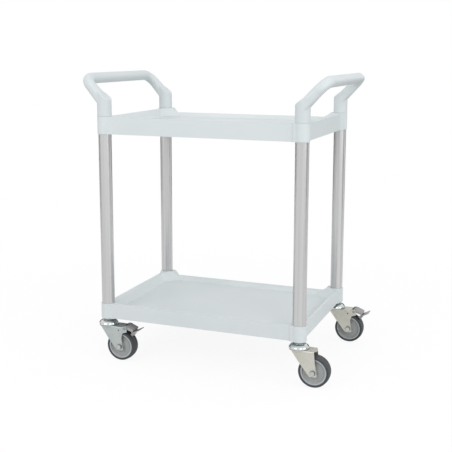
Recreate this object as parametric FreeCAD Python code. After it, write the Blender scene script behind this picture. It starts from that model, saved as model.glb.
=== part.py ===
import FreeCAD, Part
import math
import os

# Two-shelf serving trolley, millimetres, +X along its length, +Y to the rear, +Z up.
# The origin is on the floor, midway between the four posts.
# Two moulded trays stand on four aluminium posts, a moulded grip handle plugs into
# each end, and four swivel casters plug in below. Two of the casters have a brake.

V = FreeCAD.Vector
UP = V(0, 0, 1)
ALONG = V(1, 0, 0)
ACROSS = V(0, 1, 0)
FULL_TURN = 360.0
HALF_TURN = 180.0
QUARTER_TURN = 90.0

# Driving sizes of the whole trolley
post_spacing_x = 597.0
post_spacing_y = 416.0
wheel_diameter = 90.0
head_height = 18.5
bay_height = 506.5
low_tray_height = 47.0
top_tray_height = 52.5

# Fits and cutting
slip_fit = 0.05
press_gap = 0.1
body_gap = 0.5
cut_over = 5.0

# Aluminium posts
post_diameter = 38.0
post_wall = 1.5
post_groove_width = 1.8
post_groove_depth = 0.5
post_groove_spacing = 7.0
post_foot_depth = 35.0
post_head_ledge = 8.5
plug_length = 34.0

# Trays
socket_diameter = 42.5
socket_chamfer = 2.5
skirt_outset = 10.0
skirt_lift = 1.5
tray_wall = 3.0
rim_width = 4.0
deck_reach = 40.0
dish_depth = 26.0
dish_run = 20.0
cove_run = 5.0
cove_rise = 4.0
dish_corner = 14.0
front_rim_drop = 2.0
rear_rim_drop = 15.0
end_rim_drop = 2.5
front_deck_reach = 82.0
front_slope_run = 36.0
end_slope_run = 10.0
rear_slope_run = 11.0
web_reach = 28.0
web_foot = 21.0
web_outset = 15.5
rib_thickness = 2.4
rib_depth = 12.0
rib_place_shares_x = (1 / 6, 1 / 3, 1 / 2, 2 / 3, 5 / 6)
rib_place_shares_y = (1 / 3, 2 / 3)

# Handles
leg_diameter = 42.0
spigot_length = 42.0
shoulder_height = 47.5
shoulder_rise = 31.0
shoulder_round = 4.0
elbow_height = 43.0
grip_outset = 63.0
grip_rise = 65.0
arm_root = 8.0
arm_depth = 29.5
arm_width = 41.0
arm_top_round = 13.5
arm_under_round = 3.5
grip_depth = 30.0
grip_width = 30.0
grip_round = 12.5
grip_corner_radius = 34.0

# Caster wheel
wheel_width = 31.0
tread_depth = 7.5
tread_shoulder_drop = 1.6
tread_shoulder = 10.5
tread_side_height = 3.5
core_rim_recess = 1.0
core_rim_band = 6.5
core_web_recess = 5.0
core_step = 1.5
hub_diameter = 24.0
hub_length = 37.0
bush_diameter = 12.0
axle_diameter = 8.0
trail = 46.0

# Caster fork, pressed from sheet
fork_gap = 38.0
sheet = 2.5
wheel_clearance = 13.5
crown_diameter = 56.0
crown_tail_gap = 3.0
crown_bend_round = 3.0
race_diameter = 44.0
race_bore = 32.0
race_rise = 3.0
plate_front = -17.0
plate_front_drop = 6.0
plate_round = 6.0
nose_turn = 9.0
nose_tuck = 6.0
nose_round = 40.0
lug_drop = 11.5
lug_lead = 9.5
lug_tail = 12.5
lug_round = 5.0
neck_tail = 6.0
neck_height_share = 0.64
neck_round = 24.0

# Brake ears on the fork, set off from the tyre and the pivot
pivot_gap = 15.0
pivot_angle = 73.5
pivot_diameter = 5.0
ear_radius = 6.0
ear_heel = 2.0
ear_drop = 10.5
throat_back = 7.0
throat_drop = 15.5
rivet_back = 19.5
rivet_drop = 7.0
rivet_diameter = 4.0
pin_head_diameter = 8.0
pin_head_thickness = 1.5

# Brake pedal, each bend given by its angle round the axle and its gap off the tyre
pedal_sheet = 2.0
pedal_width = 36.0
barrel_radius = 4.4
wing_start_angle = 71.6
wing_start_gap = 23.0
wing_end_angle = 50.1
wing_end_gap = 26.0
fold_angle = 49.0
fold_gap = 16.0
tongue_angle = 42.3
tongue_gap = 38.9
fold_round = 0.5
flange_angle = 58.2
flange_gap = 15.6

# Brake shoe
shoe_gap = 4.0
shoe_width = 20.0
shoe_low_angle = 40.0
shoe_high_angle = 52.0
shoe_setback = 0.2
shoe_length = 6.5

# Swivel head and king pin
cup_diameter = 58.0
cup_neck_diameter = 34.0
cup_waist_diameter = 31.0
cup_shoulder_diameter = 43.0
cup_waist_share = 0.12
cup_shoulder_share = 0.38
cup_band_share = 0.68
cup_sheet = 2.0
cup_plate = 4.0
stem_diameter = 12.0
stem_rise = 40.0
pin_collar_diameter = 24.0
pin_collar_thickness = 2.4
pin_foot_diameter = 20.0
pin_foot_thickness = 4.5

# Axle bolt and nut
hex_across_flats = 13.0
bolt_head_thickness = 5.3
nut_thickness = 6.5
bolt_point = 2.0

# Places worked out from the sizes above
wheel_radius = wheel_diameter / 2
axle_height = wheel_radius
crown_height = wheel_diameter + wheel_clearance + sheet
caster_height = crown_height + head_height
half_x = post_spacing_x / 2
half_y = post_spacing_y / 2
low_tray_base = caster_height
low_tray_top = low_tray_base + low_tray_height
top_tray_base = low_tray_top + bay_height
top_tray_top = top_tray_base + top_tray_height
post_foot = low_tray_top - post_foot_depth
post_head = top_tray_top - post_head_ledge
post_radius = post_diameter / 2
post_bore = post_radius - post_wall
plug_radius = post_bore - press_gap
core_radius = wheel_radius - tread_depth
fork_inner = fork_gap / 2
fork_outer = fork_inner + sheet
AXLE = V(trail, 0, axle_height)

CORNERS = {
    "front_left": (-1, -1),
    "front_right": (1, -1),
    "rear_left": (-1, 1),
    "rear_right": (1, 1),
}
BRAKED = ("front_left", "rear_right")


def off_tyre(angle, gap):
    """Return the point at an angle round the axle that stands off the tyre by a gap."""
    turn = math.radians(angle)
    return AXLE + V(math.cos(turn), 0, math.sin(turn)) * (wheel_radius + gap)


PIVOT = off_tyre(pivot_angle, pivot_gap)
crown_tail = PIVOT.x - ear_radius - crown_tail_gap


def box(low, high):
    """Return a box between two opposite corners."""
    size = high - low
    return Part.makeBox(size.x, size.y, size.z, low)


def pillar(radius, bottom, top, place=V(0, 0, 0)):
    """Return an upright cylinder that stands over a place in plan."""
    return Part.makeCylinder(radius, top - bottom, V(place.x, place.y, bottom))


def rounded_wire(points, rounds):
    """Return a closed wire through points, each corner rounded by its own radius."""
    count = len(points)
    edges = []
    first = None
    last = None
    for index in range(count):
        corner = points[index]
        before = (points[index - 1] - corner).normalize()
        after = (points[(index + 1) % count] - corner).normalize()
        radius = rounds[index]
        if radius <= 0:
            start = corner
            end = corner
        else:
            half = before.getAngle(after) / 2
            reach = radius / math.tan(half)
            start = corner + before * reach
            end = corner + after * reach
        if last is not None and (start - last).Length > 0:
            edges.append(Part.LineSegment(last, start).toShape())
        if radius > 0:
            middle = (before + after).normalize()
            crown = corner + middle * (radius / math.sin(half) - radius)
            edges.append(Part.Arc(start, crown, end).toShape())
        if first is None:
            first = start
        last = end
    edges.append(Part.LineSegment(last, first).toShape())
    return Part.Wire(edges)


def side_plate(outline, rounds, low_y, high_y):
    """Return a plate cut to an outline of (x, z) pairs between two places in Y."""
    points = [V(x, low_y, z) for x, z in outline]
    face = Part.Face(rounded_wire(points, rounds))
    return face.extrude(ACROSS * (high_y - low_y))


def revolved(outline, centre, direction):
    """Return a solid turned from (radius, height) pairs about an axis."""
    lead = ACROSS if abs(direction.y) < abs(direction.z) else ALONG
    points = [centre + lead * r + direction * h for r, h in outline]
    face = Part.Face(Part.makePolygon(points + points[:1]))
    return face.revolve(centre, direction, FULL_TURN)


def hexagon(across_flats, low_y, high_y, centre):
    """Return a hexagonal bar along Y."""
    corner = across_flats / 2 / math.cos(math.radians(HALF_TURN / 6))
    points = []
    for step in range(6):
        angle = math.radians(step * FULL_TURN / 6)
        points.append(V(centre.x + corner * math.cos(angle), low_y, centre.z + corner * math.sin(angle)))
    face = Part.Face(Part.makePolygon(points + points[:1]))
    return face.extrude(ACROSS * (high_y - low_y))


def dish_wire(inset, height, deck):
    """Return the rounded outline of the tray's dish at one height.

    The corners are cut off at 45 degrees, which leaves a deck round each socket.
    """
    x = half_x + skirt_outset - inset
    y = half_y + skirt_outset - inset
    cut_x = half_x - deck
    cut_y = half_y - deck
    quarter = [(x, cut_y), (cut_x, y)]
    points = []
    for mirror_x, mirror_y in ((1, 1), (-1, 1), (-1, -1), (1, -1)):
        corner = [V(px * mirror_x, py * mirror_y, height) for px, py in quarter]
        if mirror_x * mirror_y < 0:
            corner.reverse()
        points += corner
    return rounded_wire(points, [dish_corner] * len(points))


def dish(base_top, grow):
    """Return the dished space of a tray, made larger all round by a wall."""
    side = rim_width - grow
    floor = base_top - dish_depth - grow
    deck = deck_reach - grow
    spread = cut_over * dish_run / dish_depth
    wires = [
        dish_wire(side - spread, base_top + cut_over, deck - spread),
        dish_wire(side + dish_run, floor + cove_rise, deck + dish_run),
        dish_wire(side + dish_run + cove_run, floor, deck + dish_run + cove_run),
    ]
    return Part.makeLoft(wires, True, True)


def rim_cuts(base_top, sink):
    """Return what is taken off the rim between the corner decks, lowered by sink."""
    cuts = []
    low = base_top - sink
    long = half_x + skirt_outset + cut_over
    sides = [
        (-1, front_rim_drop, front_deck_reach, front_slope_run),
        (1, rear_rim_drop, deck_reach - rear_slope_run, rear_slope_run),
    ]
    for side, drop, reach, run in sides:
        outer = half_x - reach
        inner = outer - run
        points = [
            V(-outer, 0, low),
            V(-inner, 0, low - drop),
            V(inner, 0, low - drop),
            V(outer, 0, low),
            V(outer, 0, base_top + cut_over),
            V(-outer, 0, base_top + cut_over),
        ]
        face = Part.Face(Part.makePolygon(points + points[:1]))
        face.translate(ACROSS * side * (half_y - skirt_outset))
        cuts.append(face.extrude(ACROSS * side * (skirt_outset * 2 + cut_over)))
    outer = half_y - deck_reach + end_slope_run
    inner = outer - end_slope_run
    for side in (-1, 1):
        points = [
            V(0, -outer, low),
            V(0, -inner, low - end_rim_drop),
            V(0, inner, low - end_rim_drop),
            V(0, outer, low),
            V(0, outer, base_top + cut_over),
            V(0, -outer, base_top + cut_over),
        ]
        face = Part.Face(Part.makePolygon(points + points[:1]))
        face.translate(ALONG * side * (half_x - skirt_outset))
        cuts.append(face.extrude(ALONG * side * (skirt_outset * 2 + cut_over)))
    return cuts


def underside_ribs(base, floor):
    """Return the stiffening ribs below a tray's floor."""
    low = floor - rib_depth
    ribs = []
    for share in rib_place_shares_x:
        x = -half_x + post_spacing_x * share
        ribs.append(box(V(x - rib_thickness / 2, -half_y - skirt_outset, low),
                        V(x + rib_thickness / 2, half_y + skirt_outset, floor)))
    for share in rib_place_shares_y:
        y = -half_y + post_spacing_y * share
        ribs.append(box(V(-half_x - skirt_outset, y - rib_thickness / 2, low),
                        V(half_x + skirt_outset, y + rib_thickness / 2, floor)))
    return ribs


def corner_socket(place, base, base_top):
    """Return a corner socket with a chamfered foot and its web to the skirts."""
    radius = socket_diameter / 2
    body = revolved([(0, base), (radius - socket_chamfer, base), (radius, base + socket_chamfer),
                     (radius, base_top), (0, base_top)], V(place.x, place.y, 0), UP)
    side_x = math.copysign(1, place.x)
    side_y = math.copysign(1, place.y)
    for along_x in (True, False):
        web = [(0, 0), (0, web_outset), (web_foot, web_outset), (web_reach, skirt_outset), (web_reach, 0)]
        points = []
        for run, out in web:
            dx, dy = (-run, out) if along_x else (out, -run)
            points.append(V(place.x + side_x * dx, place.y + side_y * dy, base + skirt_lift))
        face = Part.Face(Part.makePolygon(points + points[:1]))
        body = body.fuse(face.extrude(UP * (base_top - base - skirt_lift)))
    return body


def tray(base, height, lower):
    """Return a moulded tray: skirt, dish, ribs and four corner sockets.

    The lower tray holds the posts' feet and lets the caster stems through its socket
    floors. The upper tray rests on the posts' heads, on a ledge in each socket.
    """
    base_top = base + height
    edge_x = half_x + skirt_outset
    edge_y = half_y + skirt_outset
    skirt_low = base + skirt_lift
    body = box(V(-edge_x, -edge_y, skirt_low), V(edge_x, edge_y, base_top))
    cavity = box(V(-edge_x + tray_wall, -edge_y + tray_wall, base - cut_over),
                 V(edge_x - tray_wall, edge_y - tray_wall, base_top - tray_wall))
    floor_under = base_top - dish_depth - tray_wall
    cavity = cavity.cut([dish(base_top, tray_wall)] + rim_cuts(base_top, tray_wall))
    cavity = cavity.cut(underside_ribs(base, floor_under))
    body = body.cut(cavity)
    places = [V(sx * half_x, sy * half_y, 0) for sx, sy in CORNERS.values()]
    for place in places:
        body = body.fuse(corner_socket(place, base, base_top))
    body = body.cut([dish(base_top, 0)] + rim_cuts(base_top, 0))
    bore = post_radius + slip_fit
    holes = []
    for place in places:
        if lower:
            holes.append(pillar(bore, post_foot, base_top + cut_over, place))
            holes.append(pillar(stem_diameter / 2 + press_gap, base - cut_over, post_foot + cut_over, place))
        else:
            holes.append(pillar(bore, base - cut_over, post_head, place))
            holes.append(pillar(post_bore, post_head - cut_over, base_top + cut_over, place))
    return body.cut(holes).removeSplitter()


def post(place):
    """Return an extruded tube with twin grooves that face the middle of the trolley."""
    tube = pillar(post_radius, post_foot, post_head, place)
    tube = tube.cut(pillar(post_bore, post_foot - cut_over, post_head + cut_over, place))
    inward = -math.copysign(1, place.y)
    grooves = []
    for side in (-1, 1):
        x = place.x + side * post_groove_spacing / 2
        wall_y = math.sqrt(post_radius ** 2 - (post_groove_spacing / 2) ** 2)
        depth_y = place.y + inward * (wall_y - post_groove_depth)
        low_y = min(depth_y, depth_y + inward * cut_over)
        high_y = max(depth_y, depth_y + inward * cut_over)
        grooves.append(box(V(x - post_groove_width / 2, low_y, post_foot - cut_over),
                           V(x + post_groove_width / 2, high_y, post_head + cut_over)))
    return tube.cut(grooves)


def stem_plug(place):
    """Return the plug in a post's foot, which grips a caster stem."""
    plug = pillar(plug_radius, post_foot, post_foot + plug_length, place)
    bore = stem_diameter / 2 + slip_fit
    return plug.cut(pillar(bore, post_foot - cut_over, post_foot + plug_length + cut_over, place))


def arm_section(centre, run, depth, width, top_round, under_round):
    """Return a rounded section square to a run that lies in the XZ plane."""
    rise = run.cross(ACROSS)
    if rise.z < 0:
        rise = rise * -1
    points = []
    for lift, side in ((-1, -1), (-1, 1), (1, 1), (1, -1)):
        points.append(centre + rise * (lift * depth / 2) + ACROSS * (side * width / 2))
    return rounded_wire(points, [under_round, under_round, top_round, top_round])


def handle_leg(foot):
    """Return an upright leg with its slanted, rounded shoulder and its spigot."""
    radius = leg_diameter / 2
    low = top_tray_top + shoulder_height
    high = low + shoulder_rise
    outline = [(foot.x - radius, top_tray_top), (foot.x - radius, low), (foot.x + radius, high),
               (foot.x + radius, top_tray_top)]
    shoulder = side_plate(outline, [0, shoulder_round, 0, 0], foot.y - radius, foot.y + radius)
    leg = pillar(radius, top_tray_top, high, foot).common(shoulder)
    spigot = pillar(plug_radius, top_tray_top - spigot_length, top_tray_top + cut_over, foot)
    return leg.fuse(spigot)


def handle_half(side_y):
    """Return half of the right-hand handle, from one leg to the middle of its grip.

    The arm's flat underside has sharp edges at the leg, which fade towards the grip.
    """
    foot = V(half_x, side_y * half_y, top_tray_top)
    elbow = foot + UP * elbow_height
    knee = elbow + ALONG * grip_outset + UP * grip_rise
    run = (knee - elbow).normalize()
    inward = ACROSS * -side_y
    arm_end = knee - run * grip_corner_radius
    grip_start = knee + inward * grip_corner_radius
    root = arm_section(elbow - run * arm_root, run, arm_depth, arm_width, arm_top_round, arm_under_round)
    tip = arm_section(arm_end, run, grip_depth, grip_width, grip_round, grip_round)
    arm = Part.makeLoft([root, tip], True, True)
    hub = arm_end + inward * grip_corner_radius
    corner = Part.Face(tip).revolve(hub, run.cross(inward), QUARTER_TURN)
    end_face = Part.Face(tip)
    end_face.rotate(hub, run.cross(inward), QUARTER_TURN)
    grip = end_face.extrude(inward * abs(grip_start.y))
    return handle_leg(foot).fuse([arm, corner, grip])


def handle(side_x):
    """Return a whole moulded handle for one end of the trolley."""
    whole = handle_half(-1).fuse(handle_half(1)).removeSplitter()
    if side_x > 0:
        return whole
    return whole.mirror(V(0, 0, 0), ALONG)


def tread():
    """Return the grey tyre, turned about the axle of a wheel at the origin."""
    radius = wheel_radius
    half = wheel_width / 2
    seat = core_radius
    side_top = V(seat + tread_side_height, half, 0)
    shoulder = V(radius - tread_shoulder_drop, tread_shoulder, 0)
    middle = (side_top + shoulder) * 0.5
    bulge = middle + V(tread_shoulder_drop, tread_shoulder_drop, 0)
    flip = V(1, -1, 1)

    def mirrored(point):
        return V(point.x * flip.x, point.y * flip.y, point.z)

    edges = [
        Part.LineSegment(V(seat, -half, 0), V(seat, half, 0)).toShape(),
        Part.LineSegment(V(seat, half, 0), side_top).toShape(),
        Part.Arc(side_top, bulge, shoulder).toShape(),
        Part.Arc(shoulder, V(radius, 0, 0), mirrored(shoulder)).toShape(),
        Part.Arc(mirrored(shoulder), mirrored(bulge), mirrored(side_top)).toShape(),
        Part.LineSegment(mirrored(side_top), V(seat, -half, 0)).toShape(),
    ]
    return Part.Face(Part.Wire(edges)).revolve(V(0, 0, 0), ACROSS, FULL_TURN)


def wheel_core():
    """Return the moulded core: a rim band, a recessed web and a long hub."""
    seat = core_radius
    rim = wheel_width / 2 - core_rim_recess
    web = wheel_width / 2 - core_web_recess
    band = seat - core_rim_band
    hub = hub_diameter / 2
    bore = bush_diameter / 2 + slip_fit
    half_hub = hub_length / 2
    upper = [(seat, rim), (band, rim), (band - core_step, web)]
    upper += [(hub + core_step, web), (hub, half_hub), (bore, half_hub)]
    lower = [(r, -h) for r, h in reversed(upper)]
    return revolved(upper + lower, V(0, 0, 0), ACROSS)


def fork_outline(braked):
    """Return a fork plate's outline in (x, z), seen from the side, with its rounds."""
    throat_height = PIVOT.z - throat_drop
    neck_height = axle_height + (throat_height - axle_height) * neck_height_share
    lug_bottom = axle_height - lug_drop
    points = [
        (plate_front, crown_height, 0),
        (plate_front, crown_height - plate_front_drop, plate_round),
        (trail - lug_lead, lug_bottom, lug_round),
        (trail + lug_tail, lug_bottom, lug_round),
        (trail + neck_tail, neck_height, neck_round),
    ]
    if braked:
        ear_top = PIVOT.z + ear_radius
        points += [
            (PIVOT.x - throat_back, throat_height, plate_round),
            (PIVOT.x + ear_radius + ear_heel, PIVOT.z - ear_drop, sheet),
            (PIVOT.x + ear_radius, ear_top, ear_radius - sheet),
            (PIVOT.x - ear_radius, ear_top, ear_radius - sheet),
            (PIVOT.x - ear_radius - sheet, crown_height, sheet / 2),
        ]
    else:
        points.append((crown_tail - plate_round, crown_height, 0))
    return [p[:2] for p in points], [p[2] for p in points]


def fork_plan(half_width, corner):
    """Return the fork's outline seen from above, tucked in towards its nose."""
    front = plate_front - cut_over
    rear = PIVOT.x + ear_radius + ear_heel + cut_over
    side = [(front, half_width - nose_tuck), (nose_turn, half_width), (rear, half_width)]
    points = [V(x, y, 0) for x, y in side]
    points += [V(x, -y, 0) for x, y in side[::-1]]
    return Part.Face(rounded_wire(points, [0, corner, 0, 0, corner, 0]))


def fork(braked):
    """Return the pressed fork round a swivel axis at the origin, trailing along +X."""
    outline, rounds = fork_outline(braked)
    body = side_plate(outline, rounds, -fork_outer, fork_outer)
    top = PIVOT.z + ear_radius + cut_over
    body = body.common(fork_plan(fork_outer, nose_round).extrude(UP * top))
    under_crown = crown_height - sheet
    body = body.cut(fork_plan(fork_inner, nose_round - sheet).extrude(UP * under_crown))
    rear = PIVOT.x + ear_radius + ear_heel + cut_over
    bend_end = rear
    if braked:
        bend_end = PIVOT.x - ear_radius - sheet
        body = body.cut(box(V(crown_tail, -fork_inner, under_crown - cut_over), V(rear, fork_inner, top)))
    body = body.cut([bend_cut(-1, bend_end), bend_cut(1, bend_end)])
    disc = pillar(crown_diameter / 2, under_crown, crown_height)
    tail = pillar(fork_inner, under_crown, crown_height, V(crown_tail - fork_inner, 0, 0))
    race = pillar(race_diameter / 2, crown_height, crown_height + race_rise)
    race = race.cut(pillar(race_bore / 2, crown_height, crown_height + race_rise))
    body = body.fuse([disc, tail, race])
    holes = [
        pillar(stem_diameter / 2 + slip_fit, under_crown - cut_over, crown_height + cut_over),
        cross_hole(axle_diameter / 2 + slip_fit, AXLE),
    ]
    if braked:
        holes.append(cross_hole(pivot_diameter / 2 + slip_fit, PIVOT))
        holes.append(cross_hole(rivet_diameter / 2, PIVOT - ALONG * rivet_back - UP * rivet_drop))
    return body.cut(holes).removeSplitter()


def bend_cut(side, bend_end):
    """Return what the pressed bend takes off one upper corner of the fork."""
    centre_y = side * (fork_outer - crown_bend_round)
    centre_z = crown_height - crown_bend_round
    reach_y = side * (fork_outer + cut_over)
    corner = box(V(plate_front - cut_over, min(centre_y, reach_y), centre_z),
                 V(bend_end, max(centre_y, reach_y), crown_height + cut_over))
    start = V(plate_front - cut_over, centre_y, centre_z)
    return corner.cut(Part.makeCylinder(crown_bend_round, bend_end - start.x, start, ALONG))


def cross_hole(radius, centre):
    """Return the cylinder that drills both fork plates on one axis."""
    half = fork_outer + nut_thickness + bolt_point + cut_over
    return Part.makeCylinder(radius, half * 2, centre - ACROSS * half, ACROSS)


def swivel_cup():
    """Return the domed upper race, hung from the socket's underside."""
    top = caster_height
    edge = crown_height + body_gap
    neck = cup_neck_diameter / 2
    waist = cup_waist_diameter / 2
    shoulder = cup_shoulder_diameter / 2
    rim = cup_diameter / 2
    bore = stem_diameter / 2 + slip_fit
    plate = top - cup_plate
    waist_height = top - head_height * cup_waist_share
    shoulder_top = top - head_height * cup_shoulder_share
    band_top = top - head_height * cup_band_share
    points = [V(bore, 0, top), V(neck, 0, top), V(waist, 0, waist_height), V(shoulder, 0, shoulder_top),
              V(rim, 0, band_top), V(rim, 0, edge),
              V(rim - cup_sheet, 0, edge), V(rim - cup_sheet, 0, band_top),
              V(shoulder - cup_sheet, 0, shoulder_top - cup_sheet), V(waist - cup_sheet, 0, plate),
              V(bore, 0, plate)]
    rounds = [0, sheet / 2, sheet / 2, cup_sheet * 3, cup_sheet, 0, 0, 0, 0, 0, 0]
    face = Part.Face(rounded_wire(points, rounds))
    return face.revolve(V(0, 0, 0), UP, FULL_TURN)


def king_pin():
    """Return the stem and king pin, with the collar that holds the cup up."""
    radius = stem_diameter / 2
    collar = pin_collar_diameter / 2
    foot = pin_foot_diameter / 2
    collar_top = caster_height - cup_plate
    collar_low = collar_top - pin_collar_thickness
    foot_top = crown_height - sheet - body_gap
    foot_low = foot_top - pin_foot_thickness
    return revolved([(0, foot_low), (foot, foot_low), (foot, foot_top),
                     (radius, foot_top), (radius, collar_low),
                     (collar, collar_low), (collar, collar_top), (radius, collar_top),
                     (radius, caster_height + stem_rise), (0, caster_height + stem_rise)], V(0, 0, 0), UP)


def axle_bolt():
    """Return the wheel's axle bolt, its head towards the front."""
    centre = AXLE
    end = fork_outer + nut_thickness + bolt_point
    shank = Part.makeCylinder(axle_diameter / 2, end + fork_outer, centre - ACROSS * fork_outer, ACROSS)
    return shank.fuse(hexagon(hex_across_flats, -fork_outer - bolt_head_thickness, -fork_outer, centre))


def axle_nut():
    """Return the nut on the axle bolt's end."""
    centre = AXLE
    nut = hexagon(hex_across_flats, fork_outer, fork_outer + nut_thickness, centre)
    return nut.cut(cross_hole(axle_diameter / 2 + slip_fit, centre))


def axle_bush():
    """Return the sleeve between the fork plates that the wheel runs on."""
    start = AXLE - ACROSS * fork_inner
    sleeve = Part.makeCylinder(bush_diameter / 2, fork_gap, start, ACROSS)
    return sleeve.cut(cross_hole(axle_diameter / 2 + slip_fit, AXLE))


def strip_points(lift):
    """Return the pedal strip's bent line in (x, z), moved square to itself by lift."""
    line = [off_tyre(wing_start_angle, wing_start_gap), off_tyre(wing_end_angle, wing_end_gap),
            off_tyre(fold_angle, fold_gap), off_tyre(tongue_angle, tongue_gap)]
    moved = []
    for index, point in enumerate(line):
        normals = []
        for start, end in ((index - 1, index), (index, index + 1)):
            if start >= 0 and end < len(line):
                run = (line[end] - line[start]).normalize()
                normals.append(V(-run.z, 0, run.x))
        if len(normals) > 1:
            middle = (normals[0] + normals[1]).normalize()
            moved.append(point + middle * (lift / middle.dot(normals[0])))
        else:
            moved.append(point + normals[0] * lift)
    return moved


def brake_pedal():
    """Return the stamped pedal: release wing, folded web, tongue, flanges and barrel."""
    half = pedal_width / 2
    line = strip_points(0)
    under = strip_points(-pedal_sheet)
    outer_round = pedal_sheet + fold_round
    rounds = [0, outer_round, fold_round, 0, 0, outer_round, fold_round, 0]
    points = [p - ACROSS * half for p in line + under[::-1]]
    body = Part.Face(rounded_wire(points, rounds)).extrude(ACROSS * pedal_width)
    wing, bend, fold = strip_points(-pedal_sheet / 2)[:3]
    web = (bend + fold) / 2
    flange = off_tyre(flange_angle, flange_gap)
    outline = [(PIVOT.x, PIVOT.z + barrel_radius / 2), (wing.x, wing.z), (bend.x, bend.z), (web.x, web.z),
               (flange.x, flange.z), (PIVOT.x, PIVOT.z - barrel_radius / 2)]
    rounds = [0, 0, fold_round + pedal_sheet / 2, 0, 0, 0]
    for low_y in (-half, half - pedal_sheet):
        body = body.fuse(side_plate(outline, rounds, low_y, low_y + pedal_sheet))
    barrel_half = fork_inner - body_gap
    barrel = Part.makeCylinder(barrel_radius, barrel_half * 2, PIVOT - ACROSS * barrel_half, ACROSS)
    body = body.fuse(barrel)
    return body.cut(cross_hole(pivot_diameter / 2 + slip_fit, PIVOT)).removeSplitter()


def brake_shoe():
    """Return the shoe under the pedal's tongue, hollowed to the tyre's curve."""
    arc_points = []
    for angle in (shoe_low_angle, (shoe_low_angle + shoe_high_angle) / 2, shoe_high_angle):
        arc_points.append(off_tyre(angle, shoe_gap) - ACROSS * (shoe_width / 2))
    bend, fold, tongue = strip_points(-pedal_sheet)[1:]
    run = (tongue - fold).normalize()
    half_bend = run.getAngle(bend - fold) / 2
    flat_start = (pedal_sheet + fold_round) / math.tan(half_bend) + shoe_setback
    near = fold + run * flat_start - ACROSS * (shoe_width / 2)
    far = near + run * shoe_length
    edges = [
        Part.Arc(*arc_points).toShape(),
        Part.LineSegment(arc_points[2], near).toShape(),
        Part.LineSegment(near, far).toShape(),
        Part.LineSegment(far, arc_points[0]).toShape(),
    ]
    return Part.Face(Part.Wire(edges)).extrude(ACROSS * shoe_width)


def brake_pin():
    """Return the pedal's pivot pin, peened over outside both ears."""
    pin = Part.makeCylinder(pivot_diameter / 2, fork_outer * 2, PIVOT - ACROSS * fork_outer, ACROSS)
    heads = []
    for start in (-fork_outer - pin_head_thickness, fork_outer):
        foot = PIVOT + ACROSS * start
        heads.append(Part.makeCylinder(pin_head_diameter / 2, pin_head_thickness, foot, ACROSS))
    return pin.fuse(heads)


def caster(corner, place):
    """Return the named pieces of one caster."""
    braked = corner in BRAKED
    pieces = {
        "swivel_cup": swivel_cup(),
        "king_pin": king_pin(),
        "fork": fork(braked),
        "axle_bolt": axle_bolt(),
        "axle_nut": axle_nut(),
        "axle_bush": axle_bush(),
        "wheel_core": wheel_core().translated(AXLE),
        "tread": tread().translated(AXLE),
    }
    if braked:
        pieces["brake_pedal"] = brake_pedal()
        pieces["brake_shoe"] = brake_shoe()
        pieces["brake_pin"] = brake_pin()
    return {name + "_" + corner: shape.translated(place) for name, shape in pieces.items()}


def model():
    """Return every piece of the trolley by name."""
    pieces = {
        "bottom_tray": tray(low_tray_base, low_tray_height, True),
        "top_tray": tray(top_tray_base, top_tray_height, False),
        "handle_left": handle(-1),
        "handle_right": handle(1),
    }
    plugs = []
    for corner, (side_x, side_y) in CORNERS.items():
        place = V(side_x * half_x, side_y * half_y, 0)
        pieces["post_" + corner] = post(place)
        plugs.append(stem_plug(place))
        pieces.update(caster(corner, place))
    pieces["stem_plugs"] = Part.makeCompound(plugs)
    return pieces


os.makedirs("parts", exist_ok=True)
for node, shape in model().items():
    shape.exportStep("parts/" + node + ".step")
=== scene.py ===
"""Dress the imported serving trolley: moulded trays and handles, drawn posts and swivel casters."""

import logging
import math
from contextlib import contextmanager
from dataclasses import dataclass, field
from enum import Enum
from functools import cached_property
from typing import Any, Iterator, Mapping, Optional, Sequence, Tuple, Union

import bmesh
import bpy
from mathutils import Euler, Matrix, Vector


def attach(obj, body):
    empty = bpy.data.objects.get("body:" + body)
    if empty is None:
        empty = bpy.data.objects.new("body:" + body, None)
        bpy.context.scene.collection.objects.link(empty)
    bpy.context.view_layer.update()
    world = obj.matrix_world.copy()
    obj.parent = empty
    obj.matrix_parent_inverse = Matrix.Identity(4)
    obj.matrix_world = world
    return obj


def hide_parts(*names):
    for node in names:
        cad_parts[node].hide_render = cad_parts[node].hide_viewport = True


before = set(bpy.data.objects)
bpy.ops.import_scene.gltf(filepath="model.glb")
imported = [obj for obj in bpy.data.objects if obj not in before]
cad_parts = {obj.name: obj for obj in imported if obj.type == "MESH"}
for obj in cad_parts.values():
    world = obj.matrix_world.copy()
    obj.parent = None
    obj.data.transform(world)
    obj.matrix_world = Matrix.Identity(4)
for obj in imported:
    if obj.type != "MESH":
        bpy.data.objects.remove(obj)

LOG = logging.getLogger("trolley")
MM = 0.001
SAME_POINT = 0.002 * MM
SAME_WAY = 0.9
NOISE_MIDDLE = 0.5
RIGHT_ANGLE = math.pi / 2

Colour = Tuple[float, float, float]
Triple = Tuple[float, float, float]
Span = Tuple[float, float]
Outline = Tuple[Tuple[float, float], ...]  # a turned section's radii and places, in mm
Material = bpy.types.Material
Socket = bpy.types.NodeSocket
Feed = Union["Value", Socket, float, int, Sequence[float]]
Feeds = Mapping[Union[int, str], Feed]

WHITE: Colour = (1.0, 1.0, 1.0)


class Axis(Enum):
    """The line that a turned piece is turned about."""

    UPRIGHT = (0.0, 0.0, 1.0)
    ALONG_AXLE = (0.0, 1.0, 0.0)

    @property
    def line(self) -> Vector:
        """The axis as a unit vector."""
        return Vector(self.value)

    @property
    def turn(self) -> Triple:
        """The rotation that lays an upright circle square to this axis."""
        return (0.0, 0.0, 0.0) if self is Axis.UPRIGHT else (-RIGHT_ANGLE, 0.0, 0.0)


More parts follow.
